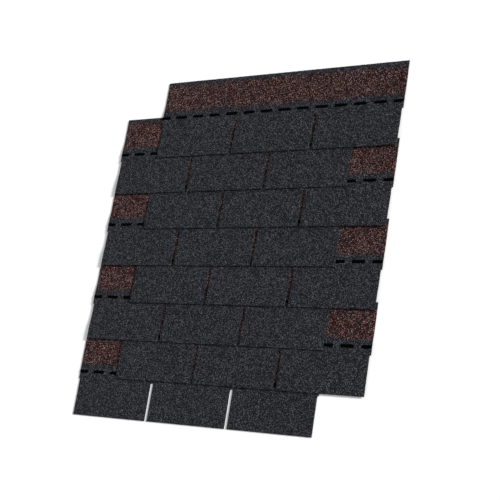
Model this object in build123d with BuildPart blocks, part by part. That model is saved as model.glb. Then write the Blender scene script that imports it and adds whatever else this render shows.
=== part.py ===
from build123d import *
import os

# Set of three-tab asphalt shingles lapped in courses, lying on a level floor.
# X runs along the courses, Y runs up the slope and Z is up, with the origin under the middle of the set.

# One shingle
shingle_length = 1000.0
shingle_thickness = 3.0
tab_count = 3
slot_width = 10.0
slot_length = 138.0

# Self-seal dashes on each shingle
seal_setback = 20.0     # from the butt edge of the next course up to the middle of the dashes
seal_width = 12.0
seal_thickness = 0.8
seal_corner = 3.0       # cut off each corner of a dash
dash_length = 48.0
dash_count = 14
dash_inset = 12.5       # from the end of a shingle to the middle of its end dash, which is cut off there

# Lay-up
course_count = 8
exposure = 145.0        # from one butt edge to the next
headlap = 27.0          # cover of the course two below
drape_run = 60.0        # run in which a shingle comes down past the edge under it
bridge_extra = 20.0     # further run of a tab that also comes down off the dashes

# Worked out
shingle_height = 2 * exposure + headlap
tab_width = shingle_length / tab_count
stagger = tab_width / 2
seal_line = exposure + seal_setback
dash_pitch = (shingle_length - 2 * dash_inset) / (dash_count - 1)
lap = max(headlap, seal_setback + seal_width / 2)
bridge_run = drape_run + bridge_extra
set_width = shingle_length + stagger
set_depth = (course_count - 1) * exposure + shingle_height
stack_height = 3 * shingle_thickness + seal_thickness


def steps_down(course):
    """Steps of the section from the butt edge up, each as where it starts, its drop and its run."""
    if course == 1:
        return []
    if course == 2:
        butt_drop = seal_thickness
    else:
        butt_drop = seal_thickness + shingle_thickness
    butt_step = (lap, butt_drop, bridge_run)
    head_step = (exposure + lap, shingle_thickness, drape_run)
    return [butt_step, head_step]


def draw_face(butt, steps, level):
    """One long face of the section: level stretches, with two tangent arcs in each step down."""
    reached = butt
    for start, drop, run in steps:
        top = (butt + start, level)
        middle = (butt + start + run / 2, level - drop / 2)
        foot = (butt + start + run, level - drop)
        Line((reached, level), top)
        TangentArc(top, middle, tangent=(1, 0))
        TangentArc(foot, middle, tangent=(-1, 0))
        reached = butt + start + run
        level = level - drop
    Line((reached, level), (butt + shingle_height, level))


os.makedirs("parts", exist_ok=True)

for course in range(1, course_count + 1):
    # Odd courses start at the left and even courses are moved right by half a tab
    left = -set_width / 2 + (course + 1) % 2 * stagger
    centre = left + shingle_length / 2
    butt = -set_depth / 2 + (course - 1) * exposure
    head = butt + shingle_height
    steps = steps_down(course)
    butt_level = sum(drop for start, drop, run in steps)

    # Shingle: the draped section run along the course, with full slots inside and half slots at its ends
    with BuildPart() as shingle:
        with BuildSketch(Plane.YZ.offset(left)):
            with BuildLine():
                draw_face(butt, steps, butt_level)
                Line((head, 0), (head, shingle_thickness))
                draw_face(butt, steps, butt_level + shingle_thickness)
                Line((butt, butt_level), (butt, butt_level + shingle_thickness))
            make_face()
        extrude(amount=shingle_length)
        with BuildSketch(Plane.XY):
            with Locations((centre, butt)):
                with GridLocations(tab_width, 0, tab_count + 1, 1):
                    SlotOverall(2 * slot_length, slot_width, rotation=90)
        extrude(amount=stack_height, mode=Mode.SUBTRACT)
    shingle.part.label = f"course_{course}_shingle"
    export_step(shingle.part, f"parts/course_{course}_shingle.step")

    # Seal dashes: a row of flat bitumen strips on the level stretch, cut off at the shingle's ends
    seal_base = shingle_thickness * min(course, 2)
    with BuildPart() as seal:
        with BuildSketch(Plane.XY.offset(seal_base)) as dashes:
            with Locations((centre, butt + seal_line)):
                with GridLocations(dash_pitch, 0, dash_count, 1):
                    Rectangle(dash_length, seal_width)
            chamfer(dashes.vertices(), seal_corner)
            with Locations((centre, butt + seal_line)):
                Rectangle(shingle_length, seal_width, mode=Mode.INTERSECT)
        extrude(amount=seal_thickness)
    seal.part.label = f"course_{course}_seal_dashes"
    export_step(seal.part, f"parts/course_{course}_seal_dashes.step")
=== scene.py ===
import math

import bpy
import numpy as np
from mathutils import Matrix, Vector


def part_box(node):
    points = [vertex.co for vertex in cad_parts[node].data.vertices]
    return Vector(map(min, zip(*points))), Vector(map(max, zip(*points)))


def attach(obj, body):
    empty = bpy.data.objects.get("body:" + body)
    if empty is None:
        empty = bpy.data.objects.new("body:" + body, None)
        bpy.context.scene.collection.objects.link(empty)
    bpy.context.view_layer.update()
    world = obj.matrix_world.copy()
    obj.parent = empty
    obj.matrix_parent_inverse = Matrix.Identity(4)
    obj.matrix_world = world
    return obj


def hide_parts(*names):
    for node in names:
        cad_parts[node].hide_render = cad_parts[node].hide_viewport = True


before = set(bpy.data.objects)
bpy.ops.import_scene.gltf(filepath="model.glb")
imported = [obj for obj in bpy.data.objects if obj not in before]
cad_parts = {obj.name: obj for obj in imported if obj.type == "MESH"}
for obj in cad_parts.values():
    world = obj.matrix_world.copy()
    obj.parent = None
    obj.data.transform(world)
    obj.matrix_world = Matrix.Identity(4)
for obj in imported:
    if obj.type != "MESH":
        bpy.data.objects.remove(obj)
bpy.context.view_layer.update()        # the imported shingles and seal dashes, in metres

courseCount = sum(name.endswith("_shingle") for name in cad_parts)
print("frame loaded:", courseCount, "courses")

# sizes read from the frame
firstLow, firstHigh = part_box("course_1_shingle")
secondLow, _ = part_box("course_2_shingle")
sealLow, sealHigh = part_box("course_1_seal_dashes")
shingleLength = firstHigh.x - firstLow.x
shingleHeight = firstHigh.y - firstLow.y
shingleThickness = firstHigh.z - firstLow.z
sealRise = sealHigh.z - sealLow.z
exposure = secondLow.y - firstLow.y        # from one butt edge to the next
headlap = shingleHeight - 2 * exposure        # cover of the course two below
lap = max(headlap, sealHigh.y - secondLow.y)        # how far up a sheet starts to come down


class Strand:        # wraps one output socket, so that shader maths is written as sums
    def __init__(self, finish, socket):
        self.finish = finish
        self.socket = socket

    def other(self, output):        # another output of the same node
        return Strand(self.finish, self.socket.node.outputs[output])

    def maths(self, operation, first, second):
        return self.finish.node("ShaderNodeMath", {"operation": operation}, {0: first, 1: second}, "Value")

    def __add__(self, other):
        return self.maths("ADD", self, other)

    def __sub__(self, other):
        return self.maths("SUBTRACT", self, other)

    def __rsub__(self, other):
        return self.maths("SUBTRACT", other, self)

    def __mul__(self, other):
        return self.maths("MULTIPLY", self, other)

    def __truediv__(self, other):
        return self.maths("DIVIDE", self, other)

    def __gt__(self, other):
        return self.maths("GREATER_THAN", self, other)

    def least(self, other):
        return self.maths("MINIMUM", self, other)

    __radd__ = __add__
    __rmul__ = __mul__


class Finish:        # the nodes of one material or of the world, with the one method that adds them
    def __init__(self, owner):
        owner.use_nodes = True
        self.owner = owner
        self.tree = owner.node_tree
        self.tree.nodes.clear()

    def node(self, kind, settings, sockets, output):
        made = self.tree.nodes.new(kind)
        for key, value in settings.items():
            if key == "stops":
                self.setStops(made.color_ramp, value)
            else:
                setattr(made, key, value)
        for key, value in sockets.items():
            if isinstance(value, Strand):
                self.tree.links.new(value.socket, made.inputs[key])
            else:
                made.inputs[key].default_value = value
        return Strand(self, made.outputs[output]) if output is not None else None

    def setStops(self, ramp, stops):        # a ramp starts with two stops, so the rest are added
        for spot, _ in stops[2:]:
            ramp.elements.new(spot)
        for element, (spot, colour) in zip(ramp.elements, stops):
            element.position = spot
            element.color = (*colour, 1)

    def place(self):
        return self.node("ShaderNodeTexCoord", {}, {}, "Object")

    def mix(self, factor, first, second):        # two colours, on the sockets for colours
        sockets = {0: factor, 6: first, 7: second}
        return self.node("ShaderNodeMix", {"data_type": "RGBA"}, sockets, 2)

    def ramp(self, stops, spot):        # the colour at a spot between the stops
        return self.node("ShaderNodeValToRGB", {"stops": stops}, {"Fac": spot}, "Color")

    def vectors(self, operation, first, second, output):
        return self.node("ShaderNodeVectorMath", {"operation": operation}, {0: first, 1: second}, output)

    def noise(self, size, detail):        # soft patches of about a size
        sockets = {"Vector": self.place(), "Scale": 1 / size, "Detail": detail}
        return self.node("ShaderNodeTexNoise", {}, sockets, "Fac")

    def cells(self, size, feature, output):        # close-packed grains of about a size
        sockets = {"Vector": self.place(), "Scale": 1 / size}
        return self.node("ShaderNodeTexVoronoi", {"feature": feature}, sockets, output)

    def dice(self, cell):        # a cell's three random numbers, its red first
        return self.node("ShaderNodeSeparateColor", {}, {"Color": cell}, "Red")

    def bump(self, height, distance):
        sockets = {"Height": height, "Strength": 1, "Distance": distance}
        return self.node("ShaderNodeBump", {}, sockets, "Normal")

    def shown(self):        # 1 for what the camera, a mirror or glass sees, and 0 for light on the object
        seen = self.node("ShaderNodeLightPath", {}, {}, "Is Camera Ray")
        return seen + seen.other("Is Glossy Ray") + seen.other("Is Transmission Ray")

    def surface(self, sockets):
        shader = self.node("ShaderNodeBsdfPrincipled", {}, sockets, "BSDF")
        self.node("ShaderNodeOutputMaterial", {}, {"Surface": shader}, None)
        return self.owner


def addPiece(name, verts, faces, finishes, faceFinish, smooth):
    # whole arrays go into one mesh, whose object stays at the origin
    mesh = bpy.data.meshes.new(name)
    mesh.from_pydata(verts.tolist(), [], faces)
    for finish in finishes:
        mesh.materials.append(finish)
    mesh.polygons.foreach_set("material_index", np.asarray(faceFinish, np.int32))
    mesh.polygons.foreach_set("use_smooth", np.asarray(smooth, bool))
    mesh.update()
    piece = bpy.data.objects.new(name, mesh)
    bpy.context.scene.collection.objects.link(piece)
    return piece


granules = {
    "size": 0.0018,        # across one granule
    "flank": 0.16,        # share of that size in which a granule rises to its full height
    "gap": (0.0015, 0.0015, 0.0018, 1),        # bitumen between the granules
    "charcoal": [
        (0.00, (0.0067, 0.0067, 0.0078)), (0.50, (0.0160, 0.0164, 0.0192)),
        (0.82, (0.0445, 0.0460, 0.0545)), (1.00, (0.2408, 0.2498, 0.2946)),
    ],
    "brown": [
        (0.00, (0.0074, 0.0025, 0.0024)), (0.50, (0.0222, 0.0066, 0.0062)),
        (0.84, (0.0888, 0.0349, 0.0323)), (1.00, (0.7323, 0.4422, 0.4102)),
    ],
    "brownFrom": 0.192,        # the brown band, up from the butt edge
    "brownTo": 0.2985,
    "bandDrift": 0.0045,        # how far the band comes down in a metre along the sheet
    "borderWave": 0.010,        # how far the border of the band wanders
    "waveSize": 0.036,
    "waveDetail": 3,
    "borderMix": 0.013,        # how far single granules stray over it
    "greyShare": 0.25,        # charcoal granules among the brown ones
    "greyPatch": 0.75,        # how much that share changes from patch to patch
    "patchSize": 0.05,
    "patchDetail": 2,
    "relief": 0.0004,        # from the gap to the top of a granule
    "lift": 0.0003,        # how far some granules stand over others
    "lean": 0.5,        # how steeply the tops lean, each its own way
    "rough": 0.78,
    "roughSpread": 0.18,
    "shine": 0.03,
}


def granuleFinish():
    # each cell is one granule with a rounded top that leans its own way and a dark gap round it,
    # whose random red picks its tone, green strays it over the band's border,
    # and blue lifts it and decides whether it stays charcoal
    finish = Finish(bpy.data.materials.new("granule_face"))
    cell = finish.cells(granules["size"], "F1", "Color")
    border = finish.cells(granules["size"], "DISTANCE_TO_EDGE", "Distance")
    tone = finish.dice(cell)
    stray, lift = tone.other("Green"), tone.other("Blue")
    flank = (border / granules["flank"]).least(1)
    crown = flank * (2 - flank)

    # the brown band, up from the butt edge
    rise = finish.node("ShaderNodeAttribute", {"attribute_name": "rise"}, {}, "Fac")
    along = finish.node("ShaderNodeSeparateXYZ", {}, {"Vector": finish.place()}, "X")
    wave = (finish.noise(granules["waveSize"], granules["waveDetail"]) - 0.5) * granules["borderWave"]
    reach = rise + along * granules["bandDrift"] + wave + (stray - 0.5) * granules["borderMix"]
    patch = finish.noise(granules["patchSize"], granules["patchDetail"]) - 0.5
    grey = granules["greyShare"] + patch * granules["greyPatch"]
    inBand = (reach > granules["brownFrom"]) * (1 - (reach > granules["brownTo"])) * (lift > grey)
    charcoal = finish.ramp(granules["charcoal"], tone)
    brown = finish.ramp(granules["brown"], tone)
    stone = finish.mix(inBand, charcoal, brown)

    # the height in metres: the rounded top, its lift, and its slope to one side
    offset = finish.vectors("SUBTRACT", finish.place(), cell.other("Position"), "Vector")
    side = finish.vectors("SUBTRACT", cell, (0.5, 0.5, 0.5), "Vector")
    slope = finish.vectors("DOT_PRODUCT", offset, side, "Value") * granules["lean"]
    height = crown * granules["relief"] + lift * granules["lift"] + slope
    return finish.surface({
        "Base Color": finish.mix(crown, granules["gap"], stone),
        "Roughness": granules["rough"] + granules["roughSpread"] * lift,
        "Specular IOR Level": granules["shine"],
        "Normal": finish.bump(height, 1),
    })


edge = {
    "grit": 0.0009,        # across one broken granule
    "tones": [
        (0.0, (0.0020, 0.0020, 0.0022)),
        (0.7, (0.0070, 0.0069, 0.0068)),
        (1.0, (0.060, 0.058, 0.056)),
    ],
    "relief": 0.0005,
    "rough": 0.70,
    "roughSpread": 0.25,
    "shine": 0.1,
}


def cutEdgeFinish():
    # black bitumen with broken granules in it:
    # each cell's random red gives its tone, its green its roughness and its blue its height
    finish = Finish(bpy.data.materials.new("cut_edge"))
    cell = finish.cells(edge["grit"], "F1", "Color")
    tone = finish.dice(cell)
    return finish.surface({
        "Base Color": finish.ramp(edge["tones"], tone),
        "Roughness": edge["rough"] + edge["roughSpread"] * tone.other("Green"),
        "Specular IOR Level": edge["shine"],
        "Normal": finish.bump(tone.other("Blue") - cell.other("Distance"), edge["relief"]),
    })


back = {
    "grain": 0.0010,        # across one grain of sand
    "tones": [
        (0.0, (0.014, 0.014, 0.014)),
        (0.6, (0.042, 0.041, 0.039)),
        (1.0, (0.210, 0.203, 0.192)),
    ],
    "bare": (0.010, 0.010, 0.011, 1),        # bitumen where the sand is thin
    "bareSize": 0.08,
    "bareDetail": 4,
    "coverFrom": -0.3,        # share of sand where the slow noise is 0, and where it is 1
    "coverTo": 1.7,
    "relief": 0.0004,
    "rough": 0.80,
    "roughSpread": 0.15,
    "shine": 0.1,
}


def sandedBackFinish():
    # bitumen dusted with fine sand: each cell's random red gives its tone, and slow noise thins the sand
    finish = Finish(bpy.data.materials.new("sanded_back"))
    cell = finish.cells(back["grain"], "F1", "Color")
    tone = finish.dice(cell)
    thick = finish.noise(back["bareSize"], back["bareDetail"])
    cover = back["coverFrom"] + (back["coverTo"] - back["coverFrom"]) * thick
    return finish.surface({
        "Base Color": finish.mix(cover, back["bare"], finish.ramp(back["tones"], tone)),
        "Roughness": back["rough"] + back["roughSpread"] * tone.other("Green"),
        "Specular IOR Level": back["shine"],
        "Normal": finish.bump(tone.other("Blue") - cell.other("Distance"), back["relief"]),
    })


sheet = {
    "tabs": 3,
    "slotWidth": 0.010,
    "slotLength": 0.138,
    "slotTopRows": 6,        # rows of the grid in the round top of a slot
    "drapeRun": 0.060,        # run in which a sheet comes down past the edge under it
    "bridgeRun": 0.080,        # run in which a tab also comes down off the dashes
    "cell": 0.0026,
    "jitter": 0.30,        # share of a cell that a point strays
    "hollow": 0.00030,        # depth of the hollows between granules
    "sway": 0.00012,        # depth of slow waves in the sheet
    "waves": 6,
    "waveRate": (20, 90),        # radians in a metre, slowest and fastest
    "ragged": 0.0007,        # how far the cut edges wander inwards
    "seed": 41,
}


def undersideHeight(course, rise):
    # height over the floor: the drops still ahead, each eased by two parabolas that meet halfway down
    height = np.zeros_like(rise)
    if course == 1:
        return height
    buttDrop = sealRise + (shingleThickness if course > 2 else 0)
    buttStep = (lap, buttDrop, sheet["bridgeRun"])
    headStep = (exposure + lap, shingleThickness, sheet["drapeRun"])
    for start, drop, run in (buttStep, headStep):
        t = np.clip((rise - start) / run, 0, 1)
        height = height + drop * np.where(t < 0.5, 1 - 2 * t ** 2, 2 * (1 - t) ** 2)
    return height


def slotHalfWidth(rise):        # straight sides, then a half circle that closes at the slot's top
    radius = sheet["slotWidth"] / 2
    up = np.clip(rise - (sheet["slotLength"] - radius), 0, radius)
    return np.sqrt(np.maximum(radius ** 2 - up ** 2, 0))


def sheetRows():
    # even rows up the tabs, closer ones round the slot's top and even ones up the head,
    # with the number of the row where the slot ends
    radius = sheet["slotWidth"] / 2
    straight = sheet["slotLength"] - radius
    tabRows = np.linspace(0, straight, round(straight / sheet["cell"]) + 1)
    turn = np.linspace(0, math.pi / 2, sheet["slotTopRows"] + 1)[1:]
    head = shingleHeight - sheet["slotLength"]
    headRows = np.linspace(sheet["slotLength"], shingleHeight, round(head / sheet["cell"]) + 1)[1:]
    rows = np.concatenate([tabRows, straight + radius * np.sin(turn), headRows])
    return rows, len(rows) - len(headRows) - 1


def slowWaves(rng, along, rise):        # a mean of sine waves in random directions, from 0 to 1
    shape = (sheet["waves"], 1, 1)
    rate = rng.uniform(*sheet["waveRate"], shape)
    turn = rng.uniform(0, 2 * math.pi, shape)
    phase = rng.uniform(0, 2 * math.pi, shape)
    return 0.5 + 0.5 * np.sin(rate * (along * np.cos(turn) + rise * np.sin(turn)) + phase).mean(0)


def tabGrid(course, tab, rows, rng):
    # a grid across one tab between its slot edges and up along the rows:
    # its points stray at random, and its height is the underside plus the thickness less random hollows
    tabWidth = shingleLength / sheet["tabs"]
    across = np.linspace(0, 1, round(tabWidth / sheet["cell"]) + 1)
    half = slotHalfWidth(rows)
    slotOpen = np.sqrt(half / half.max())        # the wander dies out where the slot closes
    openLeft = np.ones_like(rows) if tab == 0 else slotOpen
    openRight = np.ones_like(rows) if tab == sheet["tabs"] - 1 else slotOpen
    left = tab * tabWidth + half + sheet["ragged"] * rng.random(len(rows)) * openLeft
    right = (tab + 1) * tabWidth - half - sheet["ragged"] * rng.random(len(rows)) * openRight
    along = left[:, None] + (right - left)[:, None] * across[None, :]
    rise = np.repeat(rows[:, None], len(across), 1)
    stray = sheet["jitter"] * sheet["cell"] * rng.uniform(-1, 1, (2, *rise.shape))
    along[1:-1, 1:-1] += stray[0, 1:-1, 1:-1]
    topFrom, topTo = sheet["slotLength"] - sheet["slotWidth"], sheet["slotLength"] + sheet["cell"]
    inTop = (rows > topFrom) & (rows < topTo)
    rise[1:-1, 1:-1] += (stray[1] * ~inTop[:, None])[1:-1, 1:-1]        # not in the close rows
    rise[0] += sheet["ragged"] * rng.random(len(across))
    rise[-1] -= sheet["ragged"] * rng.random(len(across))
    hollow = sheet["hollow"] * rng.random(rise.shape) + sheet["sway"] * slowWaves(rng, along, rise)
    top = undersideHeight(course, rise) + shingleThickness - hollow
    return along, rise, top


def shinglePiece(course, finishes):
    # three tab grids joined above the slots, walls down from their outlines,
    # and an underside ruled straight from wall to wall
    low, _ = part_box(f"course_{course}_shingle")
    rng = np.random.default_rng(sheet["seed"] + course)
    rows, slotRow = sheetRows()
    grids = [tabGrid(course, tab, rows, rng) for tab in range(sheet["tabs"])]
    along, rise, top = (np.stack(part) for part in zip(*grids))
    under = undersideHeight(course, rise)

    # point numbers: the whole face, then a copy for the underside, of which only the outline is used
    face = np.arange(along.size).reshape(along.shape)
    face[1:, slotRow:, 0] = face[:-1, slotRow:, -1]
    foot = face + along.size
    facePoints = np.stack([low.x + along, low.y + rise, top], -1).reshape(-1, 3)
    footPoints = np.stack([low.x + along, low.y + rise, under], -1).reshape(-1, 3)
    verts = np.concatenate([facePoints, footPoints])
    pointRise = np.concatenate([rise.ravel(), rise.ravel()])

    faceKind, edgeKind, backKind = range(3)        # places in the list of finishes
    quads, kinds = [], []

    def addQuads(corners, kind):
        block = np.stack(corners, -1).reshape(-1, 4)
        quads.append(block)
        kinds.extend([kind] * len(block))

    addQuads([face[:, :-1, :-1], face[:, :-1, 1:], face[:, 1:, 1:], face[:, 1:, :-1]], faceKind)
    addQuads([face[:, 0, :-1], foot[:, 0, :-1], foot[:, 0, 1:], face[:, 0, 1:]], edgeKind)        # butt
    addQuads([face[:, -1, :-1], face[:, -1, 1:], foot[:, -1, 1:], foot[:, -1, :-1]], edgeKind)        # head
    for tab in range(sheet["tabs"]):        # slot sides, and the sheet's two ends
        leftRows = len(rows) if tab == 0 else slotRow + 1
        rightRows = len(rows) if tab == sheet["tabs"] - 1 else slotRow + 1
        upper, lower = face[tab, :leftRows, 0], foot[tab, :leftRows, 0]
        addQuads([upper[:-1], upper[1:], lower[1:], lower[:-1]], edgeKind)
        upper, lower = face[tab, :rightRows, -1], foot[tab, :rightRows, -1]
        addQuads([upper[:-1], lower[:-1], lower[1:], upper[1:]], edgeKind)
    addQuads([foot[:, 1:-2, 0], foot[:, 2:-1, 0], foot[:, 2:-1, -1], foot[:, 1:-2, -1]], backKind)
    faces = np.concatenate(quads).tolist()
    for tab in range(sheet["tabs"]):        # the underside's end strips take in every point of the edge
        faces.append([foot[tab, 1, 0], foot[tab, 1, -1], *foot[tab, 0, ::-1]])
        faces.append([foot[tab, -2, 0], *foot[tab, -1], foot[tab, -2, -1]])
        kinds.extend([backKind, backKind])

    # only the points that a face uses are kept
    flat = np.concatenate([np.asarray(corners) for corners in faces])
    used, renumbered = np.unique(flat, return_inverse=True)
    ends = np.cumsum([len(corners) for corners in faces])[:-1]
    faces = [part.tolist() for part in np.split(renumbered, ends)]
    kinds = np.array(kinds)
    piece = addPiece(f"course_{course}_sheet", verts[used], faces, finishes, kinds, kinds == faceKind)
    attribute = piece.data.attributes.new("rise", "FLOAT", "POINT")
    attribute.data.foreach_set("value", pointRise[used].astype(np.float32))
    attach(piece, "root")
    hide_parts(f"course_{course}_shingle")
    print(piece.name, "made with", len(faces), "faces")


bead = {
    "length": 0.048,
    "count": 14,
    "inset": 0.0125,        # from the end of a shingle to the middle of its end dash
    "steps": 14,
    "ring": 8,
    "reach": 0.995,        # how near to its tips a dash is followed
    "blunt": 11,        # power of the rounded ends
    "dome": 0.5,        # power of the domed section
    "sideWander": 0.03,        # share of the width that the sides wander
    "sideRate": 9,        # radians of that wander from the middle to a tip
    "topWander": 0.12,        # the same for the height
    "topRate": 5,
    "sink": 0.0004,        # how far a dash sits in among the granules
    "seed": 73,
    "clean": (0.0003, 0.0003, 0.0004, 1),
    "dusty": (0.0012, 0.0012, 0.0014, 1),
    "dustSize": 0.006,
    "dustDetail": 4,
    "flowSize": 0.0024,
    "flowDetail": 2,
    "relief": 0.0002,
    "rough": 0.50,
    "roughSpread": 0.40,
    "shine": 0.01,
}


def sealFinish():
    # smooth black bitumen, paler and duller where slow noise puts dust, with finer noise as its flow
    finish = Finish(bpy.data.materials.new("seal_bitumen"))
    dust = finish.noise(bead["dustSize"], bead["dustDetail"])
    flow = finish.noise(bead["flowSize"], bead["flowDetail"])
    return finish.surface({
        "Base Color": finish.mix(dust, bead["clean"], bead["dusty"]),
        "Roughness": bead["rough"] + bead["roughSpread"] * dust,
        "Specular IOR Level": bead["shine"],
        "Normal": finish.bump(flow, bead["relief"]),
    })


def beadPiece(course, finish):
    # a low dome carried along each dash: its width closes in like a superellipse,
    # its height by the root of that, and sine waves take a little off both,
    # with the end dashes cut off at the sheet's ends
    low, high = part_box(f"course_{course}_seal_dashes")
    rng = np.random.default_rng(bead["seed"] + course)
    count, steps, ring = bead["count"], bead["steps"], bead["ring"]
    halfLength, halfWidth = bead["length"] / 2, (high.y - low.y) / 2
    centre = np.linspace(low.x + bead["inset"], high.x - bead["inset"], count)[:, None]
    first = np.maximum(-bead["reach"], (low.x - centre) / halfLength)
    last = np.minimum(bead["reach"], (high.x - centre) / halfLength)
    ease = 0.5 - 0.5 * np.cos(np.linspace(0, math.pi, steps))
    s = first + (last - first) * ease[None, :]        # from -1 at one tip of a dash to 1 at the other
    close = (1 - np.abs(s) ** bead["blunt"]) ** (1 / bead["blunt"])
    phase = rng.uniform(0, 2 * math.pi, (count, 1))
    sideLoss = bead["sideWander"] * (1 + np.sin(bead["sideRate"] * s + phase)) / 2
    topLoss = bead["topWander"] * (1 + np.sin(bead["topRate"] * s + 2 * phase)) / 2
    width = halfWidth * close * (1 - sideLoss)
    rise = (high.z - low.z) * np.sqrt(close) * (1 - topLoss)
    turn = np.linspace(0, 2 * math.pi, ring, endpoint=False)
    upper = np.maximum(np.sin(turn), 0) ** bead["dome"]
    sunk = np.where(np.sin(turn) < 0, bead["sink"], 0)
    x = np.repeat((centre + s * halfLength)[..., None], ring, -1)
    y = (low.y + high.y) / 2 + width[..., None] * np.cos(turn)
    z = low.z + rise[..., None] * upper - sunk
    number = np.arange(count * steps * ring).reshape(count, steps, ring)
    ahead = np.roll(number, -1, 2)
    quads = np.stack([number[:, :-1], ahead[:, :-1], ahead[:, 1:], number[:, 1:]], -1).reshape(-1, 4)
    caps = np.concatenate([number[:, 0, ::-1], number[:, -1]])
    faces = quads.tolist() + caps.tolist()
    verts = np.stack([x, y, z], -1).reshape(-1, 3)
    smooth = np.arange(len(faces)) < len(quads)
    piece = addPiece(f"course_{course}_seal_beads", verts, faces, [finish], np.zeros(len(faces)), smooth)
    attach(piece, "root")
    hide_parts(f"course_{course}_seal_dashes")
    print(piece.name, "made with", len(faces), "faces")


sheetFinishes = [granuleFinish(), cutEdgeFinish(), sandedBackFinish()]
sealBlack = sealFinish()
for course in range(1, courseCount + 1):
    shinglePiece(course, sheetFinishes)
    beadPiece(course, sealBlack)

floor = {
    "size": 40.0,
    "drop": 0.0003,        # how far it lies under the lowest sheet
    "colour": (0.97, 0.97, 0.97, 1),
    "whiteLift": 0.08,        # glow that only the camera and reflections see
}


def addFloor():        # a square sheet round the middle, white to the camera but still taking the shadow
    half, level = floor["size"] / 2, -floor["drop"]
    corners = [(-half, -half), (half, -half), (half, half), (-half, half)]
    verts = np.array([(x, y, level) for x, y in corners])
    finish = Finish(bpy.data.materials.new("pale_floor"))
    matt = finish.node("ShaderNodeBsdfDiffuse", {}, {"Color": floor["colour"]}, "BSDF")
    glow = finish.node("ShaderNodeEmission", {}, {"Strength": floor["whiteLift"]}, "Emission")
    lifted = finish.node("ShaderNodeAddShader", {}, {0: matt, 1: glow}, "Shader")
    both = finish.node("ShaderNodeMixShader", {}, {0: finish.shown(), 1: matt, 2: lifted}, "Shader")
    finish.node("ShaderNodeOutputMaterial", {}, {"Surface": both}, None)
    addPiece("floor", verts, [[0, 1, 2, 3]], [finish.owner], [0], [False])


studio = {
    "skyLevel": 0.42,        # light from all round
    "sunLevel": 4.99,        # light of the lamp
    "sunFrom": (0.92, 0.30, 0.37),        # low on the right, a little towards the head edge
    "sunSpread": 12,        # degrees, for soft edges to the shadows
}


def addLights():        # an even sky that shows white, and one soft lamp
    sky = Finish(bpy.data.worlds.new("studio"))
    strength = studio["skyLevel"] + (1 - studio["skyLevel"]) * sky.shown()
    sockets = {"Color": (1, 1, 1, 1), "Strength": strength}
    light = sky.node("ShaderNodeBackground", {}, sockets, "Background")
    sky.node("ShaderNodeOutputWorld", {}, {"Surface": light}, None)
    bpy.context.scene.world = sky.owner
    lamp = bpy.data.lights.new("side_lamp", "SUN")
    lamp.energy = studio["sunLevel"]
    lamp.angle = math.radians(studio["sunSpread"])
    holder = bpy.data.objects.new("side_lamp", lamp)
    holder.rotation_euler = Vector(studio["sunFrom"]).to_track_quat("Z", "Y").to_euler()
    bpy.context.scene.collection.objects.link(holder)


eye = {
    "place": (1.8953, -1.0197, 3.0364),        # metres
    "turn": (17.897, 28.188, 10.018),        # degrees
    "lens": 74.38,        # millimetres, on a sensor of the width below
    "sensor": 36,
    "shiftUp": 0.10,
}


def addCamera():
    lens = bpy.data.cameras.new("eye")
    lens.sensor_width = eye["sensor"]
    lens.lens = eye["lens"]
    lens.shift_y = eye["shiftUp"]
    holder = bpy.data.objects.new("eye", lens)
    holder.location = eye["place"]
    holder.rotation_euler = [math.radians(angle) for angle in eye["turn"]]
    bpy.context.scene.collection.objects.link(holder)
    bpy.context.scene.camera = holder


addFloor()
addLights()
addCamera()
bpy.context.scene.view_settings.view_transform = "Standard"
print("floor, lights and camera placed")
